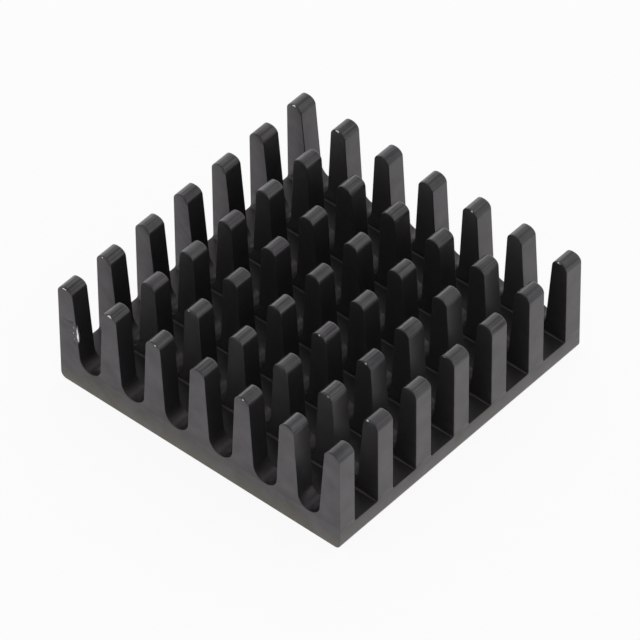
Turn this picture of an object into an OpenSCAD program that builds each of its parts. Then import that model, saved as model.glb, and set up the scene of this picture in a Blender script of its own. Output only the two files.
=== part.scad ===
// Pin heat sink for a square chip package, made of one piece of aluminium.
// A comb profile is extruded along Y. Slots are then sawn across it along X, a little deeper
// than the gullets, which leaves a square field of tapered, round-tipped pins on a base plate.
// The origin is the middle of the flat mounting face, and +Z points to the pin tips.

/* [Overall size] */
// Width across the extruded profile, along X
sink_w = 29; // [26:0.5:40]
// Length that the extruded bar is cut to, along Y
sink_l = 28.9; // [22:0.1:60]
// Height from the mounting face to the pin tips
sink_h = 10.15; // [7:0.05:25]

/* [Extruded fins] */
// Number of fins across the profile
fin_count = 7; // [3:1:8]
// Width of an inner fin at its tip
fin_tip_w = 1.5; // [1.1:0.05:1.8]
// Width at the tip of the two end fins, whose outer faces stand upright
end_tip_w = 1.55; // [1.1:0.05:2.4]
// Radius of the rounded edges of each tip
tip_r = 0.7; // [0.1:0.05:0.7]
// Radius of the round gullet between two inner fins
gullet_r = 1.2; // [0.4:0.05:1.4]
// Radius of the tighter gullet beside each end fin, which leaves that fin a stouter foot
end_gullet_r = 1.1; // [0.4:0.05:1.3]
// Height of the lowest line of a gullet above the mounting face
gullet_z = 2.25; // [1.5:0.05:4]

/* [Sawn slots] */
// Number of pins that the slots leave along each fin
pin_count = 7; // [2:1:9]
// Width of one slot, along Y
slot_w = 2.75; // [1:0.05:3.6]
// Height of the slot floors above the mounting face
slot_z = 1.85; // [1.3:0.05:4]

/* [Base] */
// Radius of the two lower edges that run along Y
base_edge_r = 0.55; // [0.1:0.05:1.2]

/* [Hidden] */
$fn = 64;
black_anodised = [0.10, 0.10, 0.11];
// How far a cut runs past the metal
past = 1;
// Least flat that is left on top of a tip
least_land = 0.05;
// How far the ends of a flank reach into the arcs that it touches, so that no sliver stays between
tuck = 0.00005;

gullet_count = fin_count - 1;
slot_count = pin_count - 1;
// Width of a gullet between two tips, the step from one gullet to the next, and the first one's place
gullet_w = (sink_w - 2*end_tip_w - (fin_count - 2)*fin_tip_w)/gullet_count;
gullet_pitch = gullet_w + fin_tip_w;
first_gullet_x = -gullet_pitch*(gullet_count - 1)/2;
// Length of one pin, and the step from one slot to the next
pin_l = (sink_l - slot_count*slot_w)/pin_count;
slot_pitch = pin_l + slot_w;

// Radius of a tip's edges, held to what the narrowest tip has room for
tip_edge_r = min(tip_r, (min(fin_tip_w, end_tip_w) - least_land)/2);
// Centre of the arc of the tip on a gullet's right, from the middle line between its two tips
tip_c = [gullet_w/2 + tip_edge_r, sink_h - tip_edge_r];

// A flank is the straight line that passes between a gullet's arc and a tip's arc and touches both.
// These give how far it leans out of the upright, and its normal, into the fin.
function flank_lean(c, r) =
  let (reach = tip_c - c) acos((r + tip_edge_r)/norm(reach)) - atan2(reach[1], reach[0]);
function into_fin(lean) = [cos(lean), -sin(lean)];

// Centre of the arc between two inner fins
gullet_c = [0, gullet_z + gullet_r];
inner_n = into_fin(flank_lean(gullet_c, gullet_r));
// Centre of the tighter arc beside the -X end fin. It touches the flank of the inner fin on its
// right, which leans as all inner flanks do, so it stands nearer to that fin than to the end fin.
end_c_z = gullet_z + end_gullet_r;
end_c_x = (tip_c*inner_n - tip_edge_r - end_gullet_r - end_c_z*inner_n[1])/inner_n[0];

function mirrored(p) = [-p[0], p[1]];

// What is taken off a square corner at the origin to leave an edge of radius r
module corner_waste(r) {
  difference() {
    translate([-past, -past]) square(r + past);
    translate([r, r]) circle(r);
  }
}

// The right side of a gullet whose arc has its centre at c: up the flank and round the tip's arc
function gullet_side(c, r) =
  let (n = into_fin(flank_lean(c, r)))
  [c + (r - tuck)*n, tip_c - (tip_edge_r - tuck)*n, tip_c, [tip_c[0], sink_h + past]];

// The open space between two fins: round at the bottom, with leaning flanks and rounded lips
module gullet(c, r) {
  right_side = gullet_side(c, r);
  left_side = gullet_side(mirrored(c), r);
  way_back = [for (i = [len(left_side) - 1 : -1 : 0]) mirrored(left_side[i])];
  difference() {
    union() {
      translate(c) circle(r);
      polygon(concat(right_side, way_back));
    }
    translate(tip_c) circle(tip_edge_r);
    translate(mirrored(tip_c)) circle(tip_edge_r);
  }
}

// What is cut at the -X end alone: the tighter gullet, and the lower and the upper corner
module end_cuts() {
  translate([first_gullet_x, 0]) gullet([end_c_x, end_c_z], end_gullet_r);
  translate([-sink_w/2, 0]) corner_waste(base_edge_r);
  translate([-sink_w/2, sink_h]) mirror([0, 1]) corner_waste(tip_edge_r);
}

// The extruded section, drawn with its width along x and its height along y
module comb_profile() {
  difference() {
    translate([-sink_w/2, 0]) square([sink_w, sink_h]);
    for (i = [1 : 1 : gullet_count - 2])
      translate([first_gullet_x + i*gullet_pitch, 0]) gullet(gullet_c, gullet_r);
    end_cuts();
    mirror([1, 0]) end_cuts();
  }
}

// The saw cuts across all the fins
module slots() {
  for (i = [0 : slot_count - 1])
    translate([-sink_w/2 - past, -sink_l/2 + pin_l + i*slot_pitch, slot_z])
      cube([sink_w + 2*past, slot_w, sink_h]);
}

module heat_sink() {
  color(black_anodised)
    difference() {
      translate([0, sink_l/2, 0]) rotate([90, 0, 0]) linear_extrude(sink_l) comb_profile();
      slots();
    }
}

heat_sink();
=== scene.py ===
# %% [markdown]
# # A black anodised pin heat sink
# The object is one piece of aluminium. A comb-shaped bar is pushed through a die, slots are sawn
# across it, the sharp edges are brushed off and the whole piece is dyed black by anodising.
# This lesson rebuilds it in Blender around a fixed solid model, in metres, with +Z up.

# %% Load the solid model
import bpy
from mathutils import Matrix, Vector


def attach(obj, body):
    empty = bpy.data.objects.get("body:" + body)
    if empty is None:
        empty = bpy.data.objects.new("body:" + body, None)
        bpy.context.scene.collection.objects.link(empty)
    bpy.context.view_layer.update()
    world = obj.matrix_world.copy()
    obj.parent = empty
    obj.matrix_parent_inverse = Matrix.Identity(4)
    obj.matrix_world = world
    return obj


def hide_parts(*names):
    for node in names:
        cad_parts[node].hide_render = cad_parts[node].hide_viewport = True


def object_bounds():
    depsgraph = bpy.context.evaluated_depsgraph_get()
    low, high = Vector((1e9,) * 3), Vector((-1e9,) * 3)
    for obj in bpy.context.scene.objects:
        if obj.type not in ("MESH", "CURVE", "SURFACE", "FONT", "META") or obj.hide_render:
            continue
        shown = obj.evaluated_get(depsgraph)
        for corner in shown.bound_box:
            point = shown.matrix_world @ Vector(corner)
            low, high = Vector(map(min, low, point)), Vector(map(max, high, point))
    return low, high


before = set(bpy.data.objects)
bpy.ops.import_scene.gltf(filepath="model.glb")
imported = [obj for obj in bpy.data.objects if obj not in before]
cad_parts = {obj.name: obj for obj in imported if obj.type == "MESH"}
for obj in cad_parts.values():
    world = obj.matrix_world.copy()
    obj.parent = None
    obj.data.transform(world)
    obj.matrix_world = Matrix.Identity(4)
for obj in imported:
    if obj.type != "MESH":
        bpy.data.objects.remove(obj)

cad_low, cad_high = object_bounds()

# %% [markdown]
# ## The camera
# The photograph was taken from well above, from the corner between the left-front face, which
# shows the comb profile, and the right-front face. Its upright edges are almost parallel, so the
# lens is a long one, far away. Blender's camera looks along its own -Z, so its matrix is filled
# with three directions: right, up and back. A small roll and a shift of the aim place the picture.

# %% Place the camera
import math

import bpy
from mathutils import Matrix, Vector

MM = 0.001
view_azimuth = math.radians(41.37)
view_elevation = math.radians(45.17)
view_roll = math.radians(-0.6)
view_distance = 626.6 * MM
lens_mm = 450
aim_right = -0.022 * MM
aim_up = -0.33 * MM

back = Vector((math.sin(view_azimuth) * math.cos(view_elevation),
               -math.cos(view_azimuth) * math.cos(view_elevation),
               math.sin(view_elevation)))
level = Vector((math.cos(view_azimuth), math.sin(view_azimuth), 0))
right = level * math.cos(view_roll) + back.cross(level) * math.sin(view_roll)
up = back.cross(right)
aim = (cad_low + cad_high) / 2 + right * aim_right + up * aim_up

camera = bpy.data.objects.new("camera", bpy.data.cameras.new("camera"))
camera.data.lens = lens_mm
camera.matrix_world = Matrix((right, up, back)).transposed().to_4x4()
camera.location = aim + back * view_distance
bpy.context.scene.collection.objects.link(camera)
bpy.context.scene.camera = camera
print("camera stands at", tuple(round(c, 4) for c in camera.location))

# %% [markdown]
# ## The comb profile
# A profile like this one is drawn from a few sizes: fins with round tips, round gullets between
# them, and a straight flank that touches both rounds. Tracing it point by point would leave bumps.
# Here one "rail" is worked out instead: the path up one side of a gullet, from its lowest line to
# the top of the tip. Every fin is made of two rails. The gullets beside the two end fins are a
# little tighter, and stand nearer to the inner fin, so that all inner flanks lean alike.

# %% Sizes of the profile
import numpy as np

sink_w, sink_l, sink_h = cad_high - cad_low
fin_count = 7
fin_tip_w = 1.5 * MM
end_tip_w = 1.55 * MM
tip_r = 0.7 * MM
gullet_r = 1.2 * MM
end_gullet_r = 1.1 * MM
gullet_z = 2.25 * MM
base_edge_r = 0.55 * MM

gullet_w = (sink_w - 2 * end_tip_w - (fin_count - 2) * fin_tip_w) / (fin_count - 1)
gullet_pitch = gullet_w + fin_tip_w
gullet_x = [(i - (fin_count - 2) / 2) * gullet_pitch for i in range(fin_count - 1)]
tip_c = np.array([gullet_w / 2 + tip_r, sink_h - tip_r])
print("gullets stand at", [round(x / MM, 3) for x in gullet_x], "mm")

# %% Lean of the flanks and place of the gullets' arcs
def flank_lean(c, r):
    """How far the line that touches a gullet's arc and a tip's arc leans out of the upright."""
    reach = tip_c - c
    return math.acos((r + tip_r) / np.hypot(*reach)) - math.atan2(reach[1], reach[0])


inner_lean = flank_lean(np.array([0, gullet_z + gullet_r]), gullet_r)
into_fin = np.array([math.cos(inner_lean), -math.sin(inner_lean)])
end_c_z = gullet_z + end_gullet_r
end_c_x = (tip_c @ into_fin - tip_r - end_gullet_r - end_c_z * into_fin[1]) / into_fin[0]
arc_r = [end_gullet_r, *[gullet_r] * (fin_count - 3), end_gullet_r]
arc_shift = [end_c_x, *[0] * (fin_count - 3), -end_c_x]
lowest_x = [x + shift for x, shift in zip(gullet_x, arc_shift)]
print("an inner flank leans", round(math.degrees(inner_lean), 2), "degrees out of the upright")

# %% One rail of a fin
ARC_STEPS = 9
TIP_STEPS = 24


def turn(start, end, steps):
    """Unit vectors that turn from one angle to another."""
    angles = np.linspace(start, end, steps + 1)
    return np.stack([np.cos(angles), np.sin(angles)], 1)


def gullet_rail(gullet, side, flank_shares):
    """Points and normals up one side of a gullet: 1 is its right-hand side and -1 its left."""
    r = arc_r[gullet]
    c = np.array([side * arc_shift[gullet], gullet_z + r])
    lean = flank_lean(c, r)
    gullet_turn = turn(-math.pi / 2, -lean, ARC_STEPS)
    tip_turn = turn(math.pi - lean, math.pi / 2, TIP_STEPS)
    foot = c + r * gullet_turn[-1]
    top = tip_c + tip_r * tip_turn[0]
    flank = foot + np.outer(flank_shares, top - foot)
    points = np.concatenate([c + r * gullet_turn[:-1], flank, tip_c + tip_r * tip_turn[1:]])
    normals = np.concatenate([-gullet_turn[:-1], np.tile(tip_turn[0], (len(flank), 1)), tip_turn[1:]])
    return points * [side, 1] + [gullet_x[gullet], 0], normals * [side, 1]


def outer_rail(side, heights):
    """The upright outer side of an end fin, level with the points of its gullet side."""
    tip_turn = turn(math.pi, math.pi / 2, TIP_STEPS)[1:]
    wall = np.stack([0 * heights, np.minimum(heights, sink_h - tip_r)], 1)
    points = np.concatenate([wall, np.array([tip_r, sink_h - tip_r]) + tip_r * tip_turn])
    normals = np.concatenate([np.tile([-1.0, 0.0], (len(wall), 1)), tip_turn])
    return (points - [sink_w / 2, 0]) * [-side, 1], normals * [-side, 1]


print("a rail turns in", ARC_STEPS, "steps at the gullet and", TIP_STEPS, "at the tip")

# %% [markdown]
# ## Rows of pins
# The saw leaves seven rows. In each row a fin is one pin: its rails are drawn out along Y, and its
# two sawn ends are closed. The rims of the sawn ends are crisp but not razor sharp, and those of the
# tips, which the brush reached best, are rounder. A Bevel modifier could round them, but rims made
# one by one keep the faces four-sided, and each can be nicked later by making it wider for a short
# stretch. So every rim is a few rings of points that turn from the drawn side to the sawn end.

# %% Sizes of the rows, the rims and the saw's corners
row_count = 7
slot_w = 2.75 * MM
slot_z = 1.85 * MM
rim_r = 0.05 * MM
tip_rim_r = 0.11 * MM
saw_r = 0.2 * MM
RIM_STEPS = 3

pin_l = (sink_l - (row_count - 1) * slot_w) / row_count
row_starts = [-sink_l / 2 + row * (pin_l + slot_w) for row in range(row_count)]
row_y = [(start, start + pin_l) for start in row_starts]
foot_z = slot_z + saw_r
rim_turn = turn(0, math.pi / 2, RIM_STEPS)
rim_in, rim_back = 1 - rim_turn[:, 0], 1 - rim_turn[:, 1]
print("a pin is", round(pin_l / MM, 3), "mm long, and its rims have a radius of", rim_r / MM, "mm")

# %% Strips of faces
# The inner and dull finishes are copies of the sawn one that reflect less: painted shade
DRAWN, SAWN, PAINTED_SHADE_INNER, PAINTED_SHADE_DULL, RIM, BARE = range(6)
quads = []


def strip(near, far, finish):
    """Fills the space between two lines of points with four-sided faces of one or many finishes."""
    finishes = np.broadcast_to(finish, len(near) - 1)
    for *corners, face_finish in zip(near[:-1], near[1:], far[1:], far[:-1], finishes):
        quads.append((corners, int(face_finish)))


def at_y(points, y):
    """Points of the profile, stood up at one place along Y, or each at its own."""
    return np.stack([points[:, 0], np.broadcast_to(y, len(points)), points[:, 1]], 1)


def rim_rings(points, normals, end_y, inward, widths=rim_r):
    """The rings of one rim, from the drawn side to the flat of the sawn end."""
    widths = np.broadcast_to(widths, len(points))
    return [at_y(points - normals * (widths * drop)[:, None], end_y + inward * widths * step)
            for drop, step in zip(rim_in, rim_back)]


print("finishes are numbered from", DRAWN, "for drawn sides to", BARE, "for bare metal")

# %% [markdown]
# ## Die lines on the tips
# A die is never quite smooth, and each flaw in it draws one fine line along the whole bar. They
# show best on the round tips, which catch the light. A bump map could fake them, but lines this
# clear are cut into the mesh: grooves a few thousandths of a millimetre deep, at the same
# place on all seven pins of a fin.

# %% Cut the die lines
import random

DIE_SEED = 7
LINES_PER_TIP = 5
line_half_w = 0.05 * MM
line_depth = (0.002 * MM, 0.0045 * MM)
line_place = (0.2, 0.8)
die = random.Random(DIE_SEED)
end_fin_x = (sink_w - end_tip_w) / 2
fin_x = [-end_fin_x, *[x + gullet_pitch / 2 for x in gullet_x[:-1]], end_fin_x]

die_lines = []
for middle in fin_x:
    for line in range(LINES_PER_TIP):
        across = (line + die.uniform(*line_place)) / LINES_PER_TIP - 0.5
        die_lines.append((middle + across * fin_tip_w, die.uniform(*line_depth)))


def groove_depth(points):
    """How deep the die lines are at points of the profile."""
    depth = sum(d * np.exp(-((points[:, 0] - x) / line_half_w) ** 2) for x, d in die_lines)
    return depth * (points[:, 1] > sink_h - tip_r)


print(len(die_lines), "die lines on", fin_count, "tips")

# %% [markdown]
# ## Nicks
# Loose sinks knock against each other, and a knock on a tip's front rim takes the thin black film
# off. The photograph shows some fifteen such nicks as bright specks. Painting specks on would look
# flat, so each nick makes its rim wider over a short stretch, and the faces there are bare metal.

# %% List the nicks on the front rims
# Fin and row, place across the tip from its middle, length along the rim, and bite, in millimetres
nicks = [(0, 0, -0.05, 0.5, 0.025), (0, 1, -0.08, 0.3, 0.02), (1, 0, 0.07, 0.5, 0.03),
         (2, 0, 0.32, 0.2, 0.02), (4, 0, 0.18, 0.25, 0.01), (0, 6, 0.0, 0.4, 0.025),
         (1, 6, -0.05, 0.5, 0.04), (4, 2, 0.06, 0.25, 0.025), (5, 2, 0.23, 0.25, 0.025),
         (5, 1, 0.35, 0.2, 0.01), (6, 6, -0.12, 0.4, 0.03), (4, 6, 0.22, 0.3, 0.03),
         (2, 1, -0.3, 0.2, 0.01), (6, 3, -0.25, 0.3, 0.02), (6, 1, -0.3, 0.35, 0.025)]


def rim_widths(points):
    """The radius of a pin's rims at each point of its outline."""
    up_tip = np.clip((points[:, 1] - sink_h + tip_r) / tip_r, 0, 1)
    return rim_r + (tip_rim_r - rim_r) * up_tip ** 2


def nick_bites(points, fin, row):
    """How much wider the nicks make a pin's front rim."""
    bites = np.zeros(len(points))
    for nick_fin, nick_row, across, length, width in nicks:
        if (nick_fin, nick_row) == (fin, row):
            away = (points[:, 0] - fin_x[fin] - across * MM) / (length / 2 * MM)
            bites = np.maximum(bites, width * MM * (1 - away ** 2))
    return bites * (points[:, 1] > sink_h - tip_r)


print(len(nicks), "nicks, the longest", max(length for *_, length, _ in nicks), "mm")

# %% [markdown]
# ## The dented pin
# The pin at the left corner took one hard knock on the rim between its front face and its flank.
# The blow left small pits and wider dimples in the face, and pushed a ragged ridge of bright metal
# out over the flank. A knife-cut hole would look too neat, so every mark is a soft bell shape, and
# the ridge's width changes along it. This needs points close together, so this pin alone has more
# of them: up its flank, along its first tenths of a millimetre, and in columns across its front.

# %% Shape of the dent
dented_pin = (0, 0)
dent_low, dent_high = 4.6 * MM, 7.15 * MM
ridge_h = 0.11 * MM
ridge_y = 0.15 * MM
ridge_half_w = 0.13 * MM
# Distance from the rim, height, radius and depth of the marks in the front face, in millimetres:
# first the small pits that go through the film, then the wider dimples that only bend it
pits = [(0.33, 6.3, 0.1, 0.06), (0.38, 5.68, 0.1, 0.06), (0.34, 5.16, 0.09, 0.05)]
dimples = [(0.36, 6.8, 0.17, 0.14), (0.16, 5.95, 0.12, 0.05), (0.14, 5.4, 0.12, 0.05),
           (0.24, 4.75, 0.14, 0.07), (0.62, 6.2, 0.25, 0.03)]
KNOCK_SEED = 5
RAGGED_STEPS = 14
spindle_lean, spindle_taper = 0.74, 1.5
ragged_range = (0.8, 1)

knock = random.Random(KNOCK_SEED)
ragged_z = np.linspace(dent_low, dent_high, RAGGED_STEPS)
spindle = np.sin(math.pi * np.linspace(0, 1, RAGGED_STEPS) ** spindle_lean) ** spindle_taper
ragged = [width * knock.uniform(*ragged_range) for width in spindle]


def ridge(z, in_from_front):
    """How far the ridge stands out over the flank."""
    along = np.interp(z, ragged_z, ragged)
    return ridge_h * along * np.exp(-((in_from_front - ridge_y) / ridge_half_w) ** 2)


def pressed(marks, from_rim, z):
    """How deep some marks press the front face in."""
    return sum(d * MM * np.exp(-((from_rim - x * MM) ** 2 + (z - h * MM) ** 2) / (r * MM) ** 2)
               for x, h, r, d in marks)


ridge_l = round((dent_high - dent_low) / MM, 2)
print(len(pits), "pits,", len(dimples), "dimples and a ridge", ridge_l, "mm long")

# %% Both rails of every fin
FLANK_POINTS = 7
even_shares = np.linspace(0, 1, FLANK_POINTS)
# Shares of the dented pin's flank, close together over the dent
close_shares = np.concatenate([np.linspace(0, 0.16, 3), np.linspace(0.18, 0.62, 60),
                               np.linspace(0.66, 1, 4)])


def fin_rails(fin, row):
    """The left and the right rail of one pin, as points and normals from the bottom up."""
    shares = close_shares if (fin, row) == dented_pin else even_shares
    if fin == 0:
        right = gullet_rail(fin, -1, shares)
        return outer_rail(-1, right[0][:-TIP_STEPS, 1]), right
    left = gullet_rail(fin - 1, 1, shares)
    if fin == fin_count - 1:
        return left, outer_rail(1, left[0][:-TIP_STEPS, 1])
    return left, gullet_rail(fin, -1, shares)


print("an inner pin has", len(fin_rails(1, 1)[0][0]), "points on each rail, the dented one",
      len(fin_rails(*dented_pin)[0][0]))

# %% [markdown]
# ## The pins
# A pin is built like a tube with two lids. The outline, up one rail and down the other, is repeated
# at a few stops along Y, and strips of faces join the stops. Two stops close together behind each
# rim hold its shading. At an end, the rim's rings turn the outline inwards, and the lid joins the
# left rail to the right one, level by level. The pin's foot is level with the slot's rounded corner.

# %% Outline of a pin
wall_foot = np.array([[sink_w / 2, foot_z]])
wall_normal = np.array([[1.0, 0.0]])
mirror = np.array([-1.0, 1.0])


def pin_path(fin, row):
    """The outline of one pin, up its left rail and down its right one, with the die lines cut in."""
    (left, left_n), (right, right_n) = fin_rails(fin, row)
    points, normals = [left, right[::-1]], [left_n, right_n[::-1]]
    if fin == 0:
        points, normals = [wall_foot * mirror, *points], [wall_normal * mirror, *normals]
    if fin == fin_count - 1:
        points, normals = [*points, wall_foot], [*normals, wall_normal]
    points, normals = np.concatenate(points), np.concatenate(normals)
    return points, normals, points - normals * groove_depth(points)[:, None]


print("the outline of an inner pin has", len(pin_path(1, 1)[0]), "points")

# %% Dent in the outline and in the face
# Distances from the front face at which the dented pin has more points along its sides
dent_stations = np.array([0.1, 0.13, 0.16, 0.2, 0.25, 0.3, 0.36, 0.44]) * MM
# A point is on the knocked flank where its normal points this much towards +X
flank_facing = 0.5
# Shares of the way across the dented face, close together near the knocked rim
dent_columns = (0, 0.4, 0.7, 0.78, 0.83, 0.87, 0.9, 0.93, 0.96, 0.98, 1)


def push_ridge(ring, normals):
    """Moves the flank points of one ring of the dented pin out to the ridge."""
    on_flank = normals[:, 0] > flank_facing
    out = ridge(ring[:, 2], ring[:, 1] + sink_l / 2) * on_flank
    return ring + np.stack([normals[:, 0] * out, 0 * out, normals[:, 1] * out], 1)


def dimpled_face(left, right):
    """Closes the dented pin's front in columns, with the marks pressed into it."""
    columns = [left + share * (right - left) for share in dent_columns]
    for column in columns[1:-1]:
        column[:, 1] += pressed(pits + dimples, right[:, 0] - column[:, 0], column[:, 2])
        column[[0, -1]] = right[[0, -1]]
    for near, far in zip(columns[:-1], columns[1:]):
        strip(near, far, SAWN)


print("the dented face has", len(dent_columns), "columns")

# %% Ends of a pin
hold = 0.02 * MM
# Bite at which a nick bares each of the rim's strips, from the drawn side to the sawn end
bare_from = (0.05 * MM, 0.02 * MM, 0)
foot_x = [-sink_w / 2 + rim_r, *lowest_x, sink_w / 2 - rim_r]
# Finish of the two end fins inside the slots, where the other fins have the inner one; the inner and
# dull finishes are painted shade
slot_sides = {0: SAWN, fin_count - 1: PAINTED_SHADE_DULL}


def sawn_face(fin, end_y, ring, dented):
    """Fills one sawn end of a pin between its two rails, and down to its foot."""
    outer = fin in (0, fin_count - 1)
    half = (len(ring) - outer) // 2
    rails = ring[1:] if fin == 0 else ring
    left, right = rails[:half], rails[half:2 * half][::-1]
    finish = SAWN if abs(end_y) > sink_l / 2 - rim_r else slot_sides.get(fin, PAINTED_SHADE_INNER)
    foot_l, foot_r = (foot_x[fin], end_y, foot_z), (foot_x[fin + 1], end_y, foot_z)
    strip([foot_l, left[0]], [foot_r, right[0]], finish)
    if dented:
        dimpled_face(left, right)
    else:
        strip(left, right, finish)


def pin_end(fin, row, end_y, inward):
    """Makes the rim and the face of one end, and returns the two rings where the drawn sides start."""
    points, normals, grooved = pin_path(fin, row)
    at_front = inward == 1
    dented = at_front and (fin, row) == dented_pin
    bites = nick_bites(points, fin, row) * at_front
    widths = rim_widths(points) + bites
    rings = rim_rings(points, normals, end_y, inward, widths)
    rings[0] = at_y(grooved, end_y + inward * widths)
    rings.append(at_y(grooved, end_y + inward * (widths + hold)))
    if dented:
        rings = [push_ridge(ring, normals) for ring in rings]
    *rim, held = rings
    knocked = np.minimum(bites[:-1], bites[1:])
    for needed, near, far in zip(bare_from, rim[:-1], rim[1:]):
        strip(near, far, np.where(knocked > needed, BARE, RIM))
    sawn_face(fin, end_y, rim[-1], dented)
    return [rim[0], held]


print("a rim is bared in", len(bare_from), "strips")

# %% Make all the pins
def make_pin(fin, row):
    """Makes both ends of a pin, and the drawn sides between them."""
    front, back = [pin_end(fin, row, y, inward) for y, inward in zip(row_y[row], (1, -1))]
    if (fin, row) == dented_pin:
        points, normals, grooved = pin_path(fin, row)
        for y in dent_stations:
            front.append(push_ridge(at_y(grooved, row_y[row][0] + y), normals))
            front[-1][-1] = front[1][-1]
    if fin in (0, fin_count - 1):
        foot = 0 if fin == 0 else -1
        for rings in (front, back):
            for ring in rings[1:]:
                ring[foot] = rings[0][foot]
    stations = [*front, *back[::-1]]
    for near, far in zip(stations[:-1], stations[1:]):
        strip(near, far, DRAWN)


for row in range(row_count):
    for fin in range(fin_count):
        make_pin(fin, row)
print(len(quads), "faces on", fin_count * row_count, "pins")

# %% [markdown]
# ## Slot floors
# Between two rows the saw leaves a flat floor, a little below the gullets. The corners of a saw's
# teeth are never sharp, so a small round joins the floor to the feet of the pins, and it catches
# a thin line of light. The slot is one path, from one foot across the floor to the other, and it is
# drawn out along X. Its two ends are rounded like the rims, by shifting the path into the metal.

# %% Lay the slot floors
SAW_STEPS = 4


def slot_path(near_y, far_y):
    """Points and normals from the foot of one row, across the floor, to the foot of the next."""
    near_turn = turn(math.pi, 1.5 * math.pi, SAW_STEPS)
    far_turn = turn(1.5 * math.pi, 2 * math.pi, SAW_STEPS)
    points = np.concatenate([np.array([near_y + saw_r, foot_z]) + saw_r * near_turn,
                             np.array([far_y - saw_r, foot_z]) + saw_r * far_turn])
    return points, -np.concatenate([near_turn, far_turn])


def at_x(points, x):
    """Points of a slot's path at one place along X."""
    return np.stack([np.full(len(points), x), points[:, 0], points[:, 1]], 1)


def end_round(side, points, normals):
    """The rings that round one end of a slot, from the side wall to the floor."""
    return [at_x(points - normals * rim_r * step, side * (sink_w / 2 - rim_r * drop))
            for drop, step in zip(rim_in, rim_back)]


def close_corner(side, arc, row_edge):
    """Fills the side wall between a foot's round and the square corner of the base plate's wall."""
    corner = (side * sink_w / 2, row_edge, slot_z - rim_r)
    for near, far in zip(arc[:-1], arc[1:]):
        quads.append(((corner, near, far), DRAWN))


for row in range(row_count - 1):
    near_y, far_y = row_y[row][1], row_y[row + 1][0]
    points, normals = slot_path(near_y, far_y)
    columns = [at_x(points, x) for x in foot_x]
    # The flat of each floor takes the dull finish, a painted shade; its rounds take the rim one
    for near, far in zip(columns[:-1], columns[1:]):
        strip(near, far, [RIM] * SAW_STEPS + [PAINTED_SHADE_DULL] + [RIM] * SAW_STEPS)
    for side in (-1, 1):
        rings = end_round(side, points, normals)
        for near, far in zip(rings[:-1], rings[1:]):
            strip(near, far, RIM)
        close_corner(side, rings[0][:SAW_STEPS + 1], near_y - rim_r)
        close_corner(side, rings[0][SAW_STEPS + 1:], far_y + rim_r)
print(row_count - 1, "slot floors laid")

# %% [markdown]
# ## The base plate
# Below the slots the bar is a plain plate whose two lower edges, along Y, were round in the die.
# The underside is the mounting face, and it stays flat. Its outline runs from one side wall, round
# the bottom, to the other, and is drawn out along Y with a row of points wherever a pin or a slot
# starts or ends, so that every face meets its neighbours corner to corner.

# %% Draw out the base plate
LOWER_STEPS = 8
lower_turn = turn(math.pi, 1.5 * math.pi, LOWER_STEPS)
lower_arc = np.array([base_edge_r - sink_w / 2, base_edge_r]) + base_edge_r * lower_turn
side_top = np.array([[-sink_w / 2, slot_z - rim_r]])
left_side = np.concatenate([side_top, lower_arc])
left_side_n = np.concatenate([[[-1.0, 0.0]], lower_turn])
under = np.array([[x, 0] for x in lowest_x])
under_n = np.tile([0.0, -1.0], (len(under), 1))
base_path = np.concatenate([left_side, under, left_side[::-1] * mirror])
base_normals = np.concatenate([left_side_n, under_n, left_side_n[::-1] * mirror])

stops = []
for start, end in row_y:
    stops += [start - saw_r, start + rim_r, end - rim_r, end + saw_r]
stops = stops[1:-1]
for near_y, far_y in zip(stops[:-1], stops[1:]):
    strip(at_y(base_path, near_y), at_y(base_path, far_y), DRAWN)
for start, end in row_y:
    for side in (-1, 1):
        band = np.array([(side * sink_w / 2, slot_z - rim_r), (side * sink_w / 2, foot_z)])
        strip(at_y(band, start + rim_r), at_y(band, end - rim_r), DRAWN)
print("the base plate is drawn out over", len(stops), "stops")

# %% Close both ends of the base plate
band_path = np.concatenate([wall_foot * mirror, base_path, wall_foot])
band_normals = np.concatenate([wall_normal * mirror, base_normals, wall_normal])
side_count = len(left_side) + 1
for end_y, inward in ((-sink_l / 2, 1), (sink_l / 2, -1)):
    rings = rim_rings(band_path, band_normals, end_y, inward)
    for near, far in zip(rings[:-1], rings[1:]):
        strip(near, far, RIM)
    left, right_end = rings[-1][:side_count], rings[-1][::-1][:side_count]
    inner = [np.array([(x, end_y, z) for z in left[:, 2]]) for x in lowest_x]
    columns = [left, *inner, right_end]
    for near, far in zip(columns[:-1], columns[1:]):
        strip(near, far, SAWN)
print(len(quads), "faces in all")

# %% [markdown]
# ## One closed mesh
# Each strip made its own corners, so neighbours have doubles of them. A merge by distance welds
# them, and recalculated normals make every face look outwards. A closed body has two faces at every
# edge, and that is easy to count.

# %% Weld the strips
import bmesh

WELD = 1e-7
body = bmesh.new()
for corners, finish in quads:
    face = body.faces.new([body.verts.new(c) for c in corners])
    face.material_index = finish
    face.smooth = True
bmesh.ops.remove_doubles(body, verts=body.verts, dist=WELD)
bmesh.ops.recalc_face_normals(body, faces=body.faces)
open_edges = sum(len(e.link_faces) != 2 for e in body.edges)
print(len(body.verts), "corners,", len(body.faces), "faces,", open_edges, "open edges, volume",
      round(body.calc_volume() / MM ** 3, 1), "cubic mm")

# %% Bare the knocked metal
bare_ridge = 0.3 * ridge_h
bare_pit = 0.042 * MM
flank_points = fin_rails(*dented_pin)[1][0]
for face in body.faces:
    x, y, z = face.calc_center_median()
    from_rim = np.interp(z, flank_points[:, 1], flank_points[:, 0]) - x
    from_front = y + sink_l / 2
    if -2 * ridge_h < from_rim < rim_r and from_front < dent_stations[-1]:
        if ridge(z, from_front) > bare_ridge:
            face.material_index = BARE
    elif rim_r < from_rim < fin_tip_w and from_front < rim_r:
        if pressed(pits, from_rim, z) > bare_pit:
            face.material_index = BARE
print(sum(face.material_index == BARE for face in body.faces), "bare faces")

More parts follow.
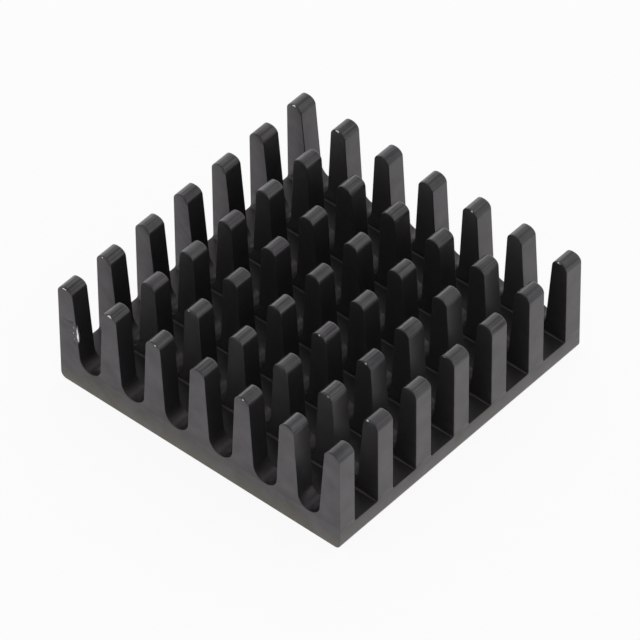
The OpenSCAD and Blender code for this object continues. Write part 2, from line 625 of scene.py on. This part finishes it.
# %% Make the object
sharp_from = math.radians(40)
sink_mesh = bpy.data.meshes.new("pin_heat_sink")
body.to_mesh(sink_mesh)
body.free()
sink_mesh.set_sharp_from_angle(angle=sharp_from)
sink = bpy.data.objects.new("pin_heat_sink", sink_mesh)
bpy.context.scene.collection.objects.link(sink)
even = sink.modifiers.new("even_normals", "WEIGHTED_NORMAL")
even.keep_sharp = True
print(sink.name, "has", len(sink_mesh.polygons), "faces")

# %% [markdown]
# ## The black film
# Black anodising is a clear, hard, glassy film with black dye in it. Almost no light comes back out
# of the dye, so what shows is the gloss of the film: the piece looks grey where it mirrors white
# paper and black where it mirrors itself. A Principled shader with a nearly black colour and the
# refraction index of the film does just that. The film is never even, so clouds a millimetre or
# two across change its gloss a little. Near the base the gloss is painted stronger and turns from a
# cool to a warm grey, a painted warm light from the floor, and on the tips it turns a clearer,
# bluish grey, a painted highlight.

# %% Helpers for finishes
def add(tree, kind, **values):
    """Adds a node and fills in its sockets, named with underscores for spaces."""
    made = tree.nodes.new("ShaderNode" + kind)
    for name, value in values.items():
        made.inputs[name.replace("_", " ")].default_value = value
    return made


def spread(tree, value, low, high, **ends):
    """Turns a value between two ends into one between low and high."""
    ranged = add(tree, "MapRange", To_Min=low, To_Max=high, **ends)
    tree.links.new(value, ranged.inputs["Value"])
    return ranged.outputs["Result"]


def reckon(tree, operation, *values):
    """Works out one sum, on values from other nodes and on plain numbers."""
    made = tree.nodes.new("ShaderNodeMath")
    made.operation = operation
    for socket, value in zip(made.inputs, values):
        if isinstance(value, float):
            socket.default_value = value
        else:
            tree.links.new(value, socket)
    return made.outputs[0]


def add_to(tree, socket, value):
    """Adds a value to what already feeds a socket."""
    tree.links.new(reckon(tree, "ADD", socket.links[0].from_socket, value), socket)


def noise(tree, vector, scale, detail):
    """Noise with so many features to the metre."""
    made = add(tree, "TexNoise", Scale=scale, Detail=detail)
    tree.links.new(vector, made.inputs["Vector"])
    return made.outputs[0]


def ramp(tree, value, *stops):
    """A row of colours along a value from 0 to 1."""
    made = tree.nodes.new("ShaderNodeValToRGB")
    elements = made.color_ramp.elements
    while len(elements) < len(stops):
        elements.new(1)
    for element, (position, colour) in zip(elements, stops):
        element.position = position
        element.color = (*colour, 1)
    tree.links.new(value, made.inputs["Fac"])
    return made.outputs["Color"]


print("helpers ready")

# %% One black film for all sides
DYE = (0.02, 0.0197, 0.0201, 1)
COOL_GLOSS = (1.0, 0.91, 0.975)
# Painted highlight: on the tips the gloss turns this clearer, bluish grey
PAINTED_TIP_HIGHLIGHT = (0.97, 0.965, 1.0)
# Painted light from the floor: near the base the gloss turns this warm
PAINTED_WARM_FLOOR_LIGHT = (1.0, 0.92, 0.76)
CLOUD_SCALE, CLOUD_DETAIL = 650, 4
GRAIN_SCALE, GRAIN_DETAIL = 9000, 2
NOISE_ENDS = {"From_Min": 0.3, "From_Max": 0.7}
film_range = (0.41, 0.59)
# Painted floor light: the gloss is raised by this much at the bottom and fades out by the next height
painted_floor_light_gain = 0.3
painted_floor_light_reach = 1.7 * MM
painted_warm_light_height = 2.6 * MM
# Share of the height from which the gloss blends into the painted tip highlight
painted_highlight_from = 0.9
drift_share = 0.1


def black_film(name, refraction):
    """A finish with the dye, the clouds and painted light by height, and its tree, shader and place."""
    finish = bpy.data.materials.new(name)
    finish.use_nodes = True
    tree = finish.node_tree
    shader = tree.nodes["Principled BSDF"]
    shader.inputs["Base Color"].default_value = DYE
    shader.inputs["IOR"].default_value = refraction
    place = tree.nodes.new("ShaderNodeTexCoord").outputs["Object"]
    clouds = noise(tree, place, CLOUD_SCALE, CLOUD_DETAIL)
    parts = add(tree, "SeparateXYZ")
    tree.links.new(place, parts.inputs["Vector"])
    height = parts.outputs["Z"]
    # Clouds change the gloss at random; near the base it is raised as painted floor light
    film = reckon(tree, "ADD", spread(tree, clouds, *film_range, **NOISE_ENDS),
                  spread(tree, height, painted_floor_light_gain, 0, From_Max=painted_floor_light_reach))
    tree.links.new(film, shader.inputs["Specular IOR Level"])
    # Tint by height: warm near the base as painted floor light, clearer on the tips as a painted
    # highlight
    drift = reckon(tree, "ADD", spread(tree, height, 0, 1, From_Max=sink_h),
                   spread(tree, clouds, -drift_share, drift_share, **NOISE_ENDS))
    gloss = ramp(tree, drift, (0.0, PAINTED_WARM_FLOOR_LIGHT), (painted_warm_light_height / sink_h, COOL_GLOSS),
                 (painted_highlight_from, COOL_GLOSS), (1.0, PAINTED_TIP_HIGHLIGHT))
    tree.links.new(gloss, shader.inputs["Specular Tint"])
    return finish, tree, shader, place, parts


def rough_and_bump(tree, shader, marks, grain, roughness, depth):
    """Lets marks change the roughness, and marks and grain the relief."""
    rough = spread(tree, marks, *roughness, **NOISE_ENDS)
    tree.links.new(rough, shader.inputs["Roughness"])
    bump = add(tree, "Bump", Distance=depth)
    tree.links.new(reckon(tree, "ADD", marks, grain), bump.inputs["Height"])
    tree.links.new(bump.outputs["Normal"], shader.inputs["Normal"])


print("dye", DYE[:3], "under a film whose gloss turns warm below", round(painted_warm_light_height / MM, 1), "mm")

# %% [markdown]
# ## Drawn and sawn sides
# The die leaves a fine grain of lines along Y, and those sides keep some shine. On the tips the lines
# differ in gloss, and down in the gullets the film is set duller. The saw leaves faint arcs, as wide
# as its blade, on the ends of the pins, and those sides are duller too. Both are noise that is squeezed
# in one direction: the drawn grain by scaling Y down, and the saw marks by taking each point's
# distance along X from one arc of the blade. Bare metal shows only where a knock took the film off.
#
# The photograph is darkest inside the slots, so the sawn sides there reflect less, and the slot
# floors and the right-hand pins have a duller copy of the film: both are painted shade. Low down and
# in the last row the photograph is a little hazy, perhaps from flare in the lens, and a lighter dye
# stands in for that haze: painted light.

# %% Drawn sides
DRAWN_SCALE, DRAWN_DETAIL = 7000, 3
drawn_refraction = 1.58
drawn_roughness = (0.274, 0.282)
drawn_relief = 0.0002 * MM
drawn_stretch = (1, 0.015, 1)
streak_gloss = 0.22
streak_z = (sink_h - tip_r, sink_h - tip_r / 2)
gullet_dull = 0.14
dull_height = 7 * MM
# The duller film ends between these two distances from the middle, short of the outer walls
outer_x = (sink_w / 2 - 0.3 * MM, sink_w / 2 - 0.2 * MM)


def anodised_drawn():
    """A film with the grain of the die in it, duller down in the gullets."""
    finish, tree, shader, place, parts = black_film("anodised_drawn", drawn_refraction)
    squeeze = add(tree, "Mapping", Scale=drawn_stretch)
    tree.links.new(place, squeeze.inputs["Vector"])
    lines = noise(tree, squeeze.outputs["Vector"], DRAWN_SCALE, DRAWN_DETAIL)
    grain = noise(tree, place, GRAIN_SCALE, GRAIN_DETAIL)
    rough_and_bump(tree, shader, lines, grain, drawn_roughness, drawn_relief)
    low = spread(tree, parts.outputs["Z"], gullet_dull, 0, From_Min=gullet_z, From_Max=dull_height)
    inside = spread(tree, reckon(tree, "ABSOLUTE", parts.outputs["X"]), 1, 0,
                    From_Min=outer_x[0], From_Max=outer_x[1])
    add_to(tree, shader.inputs["Roughness"], reckon(tree, "MULTIPLY", low, inside))
    streaks = spread(tree, lines, -streak_gloss, streak_gloss, **NOISE_ENDS)
    on_tip = spread(tree, parts.outputs["Z"], 0, 1, From_Min=streak_z[0], From_Max=streak_z[1])
    add_to(tree, shader.inputs["Specular IOR Level"], reckon(tree, "MULTIPLY", streaks, on_tip))
    return finish


finishes = {DRAWN: anodised_drawn()}
print(finishes[DRAWN].name, "has", len(finishes[DRAWN].node_tree.nodes), "nodes")

# %% Sawn sides
blade_r = 40 * MM
blade_z = blade_r - 6 * MM
SAW_SCALE, SAW_DETAIL = 4000, 3
sawn_relief = 0.0008 * MM
# Lighter colour for the painted haze, a veil of light low in the slots and over the last row
PAINTED_HAZE_COLOUR = (0.065, 0.0645, 0.065)
deep_z = 4 * MM
painted_haze_share = 0.67


def paint_haze_low_and_last(tree, shader, parts):
    """Painted haze, a veil of light: the dye turns lighter down in the slots and in the last row."""
    low = spread(tree, parts.outputs["Z"], painted_haze_share, 0, From_Min=deep_z, From_Max=sink_h)
    last = spread(tree, parts.outputs["Y"], 0, 1, From_Min=row_y[-2][1], From_Max=row_y[-1][0])
    # The dye blends towards the haze colour here: painted light
    dye = ramp(tree, reckon(tree, "ADD", low, last), (0.0, DYE[:3]), (1.0, PAINTED_HAZE_COLOUR))
    tree.links.new(dye, shader.inputs["Base Color"])


def anodised_sawn(name, refraction, roughness, with_painted_haze):
    """A film with the arcs of the saw in it, and with the painted haze when asked for."""
    finish, tree, shader, place, parts = black_film(name, refraction)
    if with_painted_haze:
        paint_haze_low_and_last(tree, shader, parts)
    below = reckon(tree, "SUBTRACT", parts.outputs["Z"], blade_z)
    square = reckon(tree, "MULTIPLY", below, below)
    reach = reckon(tree, "SQRT", reckon(tree, "SUBTRACT", blade_r ** 2, square))
    swept = add(tree, "CombineXYZ")
    tree.links.new(reckon(tree, "ADD", parts.outputs["X"], reach), swept.inputs["X"])
    tree.links.new(parts.outputs["Y"], swept.inputs["Y"])
    marks = noise(tree, swept.outputs["Vector"], SAW_SCALE, SAW_DETAIL)
    grain = noise(tree, place, GRAIN_SCALE, GRAIN_DETAIL)
    rough_and_bump(tree, shader, marks, grain, roughness, sawn_relief)
    return finish


# Name, refraction index, and least and most roughness of each finish on sawn metal
sawn_kinds = {SAWN: ("anodised_sawn", 1.76, (0.46, 0.56)),
              # The inner and dull copies reflect less than the sawn film: painted shade in the slots
              PAINTED_SHADE_INNER: ("anodised_inner_painted_shade_and_haze", 1.48, (0.46, 0.56)),
              PAINTED_SHADE_DULL: ("anodised_dull_painted_shade", 1.55, (0.48, 0.56)),
              RIM: ("anodised_rim", 1.7, (0.3, 0.38))}
for kind, values in sawn_kinds.items():
    finishes[kind] = anodised_sawn(*values, with_painted_haze=kind == PAINTED_SHADE_INNER)
print("sawn with a blade of", round(2 * blade_r / MM), "mm across")

# %% Bare metal
METAL = (0.91, 0.91, 0.92, 1)
SCUFF_SCALE, SCUFF_DETAIL = 12000, 3
bare_roughness = (0.3, 0.5)
bare_relief = 0.01 * MM


def bare_aluminium():
    """Scuffed metal, where the film is gone."""
    finish = bpy.data.materials.new("bare_aluminium")
    finish.use_nodes = True
    tree = finish.node_tree
    shader = tree.nodes["Principled BSDF"]
    shader.inputs["Base Color"].default_value = METAL
    shader.inputs["Metallic"].default_value = 1
    place = tree.nodes.new("ShaderNodeTexCoord").outputs["Object"]
    scuffs = noise(tree, place, SCUFF_SCALE, SCUFF_DETAIL)
    grain = noise(tree, place, GRAIN_SCALE, GRAIN_DETAIL)
    rough_and_bump(tree, shader, scuffs, grain, bare_roughness, bare_relief)
    return finish


finishes[BARE] = bare_aluminium()
print(finishes[BARE].name, "has the colour", METAL[:3])

# %% Put the finishes on
for index in sorted(finishes):
    sink_mesh.materials.append(finishes[index])
print("finishes:", [m.name for m in sink_mesh.materials])

# %% [markdown]
# ## White paper
# The photograph shows the sink on plain white. A sheet of paper lies under it and reaches far past
# the picture. Paper in soft light would come out pale grey, so for rays from the camera, and in
# mirror images, most of it glows at strength 1, which is white. The small rest is plain paper, and
# there the sink's faint shadow stays.

# %% Lay the paper
scene = bpy.context.scene
scene.view_settings.view_transform = "Standard"
paper_half = 3.0
glow_share = 0.92
PAPER = (0.9, 0.9, 0.9, 1)

corners = [(-paper_half, -paper_half, 0), (paper_half, -paper_half, 0),
           (paper_half, paper_half, 0), (-paper_half, paper_half, 0)]
paper_mesh = bpy.data.meshes.new("white_paper")
paper_mesh.from_pydata(corners, [], [(0, 1, 2, 3)])
paper = bpy.data.objects.new("white_paper", paper_mesh)
scene.collection.objects.link(paper)
print("paper of", 2 * paper_half, "m square")

# %% Make it white for the camera
white = bpy.data.materials.new("white_paper")
white.use_nodes = True
tree = white.node_tree
tree.nodes.clear()
ray = add(tree, "LightPath")
seen = ray.outputs["Is Camera Ray"]
for kind in ("Is Glossy Ray", "Is Transmission Ray"):
    seen = reckon(tree, "MAXIMUM", seen, ray.outputs[kind])
both = add(tree, "MixShader")
tree.links.new(spread(tree, seen, 0, glow_share), both.inputs["Fac"])
tree.links.new(add(tree, "BsdfDiffuse", Color=PAPER).outputs["BSDF"], both.inputs[1])
tree.links.new(add(tree, "Emission", Strength=1).outputs["Emission"], both.inputs[2])
tree.links.new(both.outputs["Shader"], add(tree, "OutputMaterial").inputs["Surface"])
paper_mesh.materials.append(white)
print("the paper glows for the camera by a share of", glow_share)

# %% [markdown]
# ## Soft light
# No lamp shows in the photograph: the sink stood in a white tent, lit through its sides, a little more
# from the left, and open above and in front. So the light is the world itself, a white dome at about
# strength 1 that is dimmer round one direction, up and to the front. The round tips mirror the edge
# of that opening as a darker band along Y.

# %% Light tent
tent_side, tent_top = 1.35, 0.48
opening_axis = (-0.15, -0.5, 0.85)
opening_edge, opening_middle = 0.395, 0.45
left_gain, right_gain = 1.3, 0.75

tent = bpy.data.worlds.new("light_tent")
scene.world = tent
tent.use_nodes = True
tree = tent.node_tree
nearness = tree.nodes.new("ShaderNodeVectorMath")
nearness.operation = "DOT_PRODUCT"
nearness.inputs[1].default_value = opening_axis
direction = tree.nodes.new("ShaderNodeTexCoord").outputs["Generated"]
tree.links.new(direction, nearness.inputs[0])
fade = spread(tree, nearness.outputs["Value"], tent_side, tent_top,
              From_Min=opening_edge, From_Max=opening_middle)
sides = add(tree, "SeparateXYZ")
tree.links.new(direction, sides.inputs["Vector"])
lean = spread(tree, sides.outputs["X"], left_gain, right_gain, From_Min=-1)
strength = reckon(tree, "MULTIPLY", fade, lean)
tree.links.new(strength, tree.nodes["Background"].inputs["Strength"])
tree.nodes["Background"].inputs["Color"].default_value = (1, 1, 1, 1)
print("the tent has strength", tent_side, "at its sides and", tent_top, "in its opening")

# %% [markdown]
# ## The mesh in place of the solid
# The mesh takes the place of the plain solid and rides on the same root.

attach(sink, "root")
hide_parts("heat_sink")
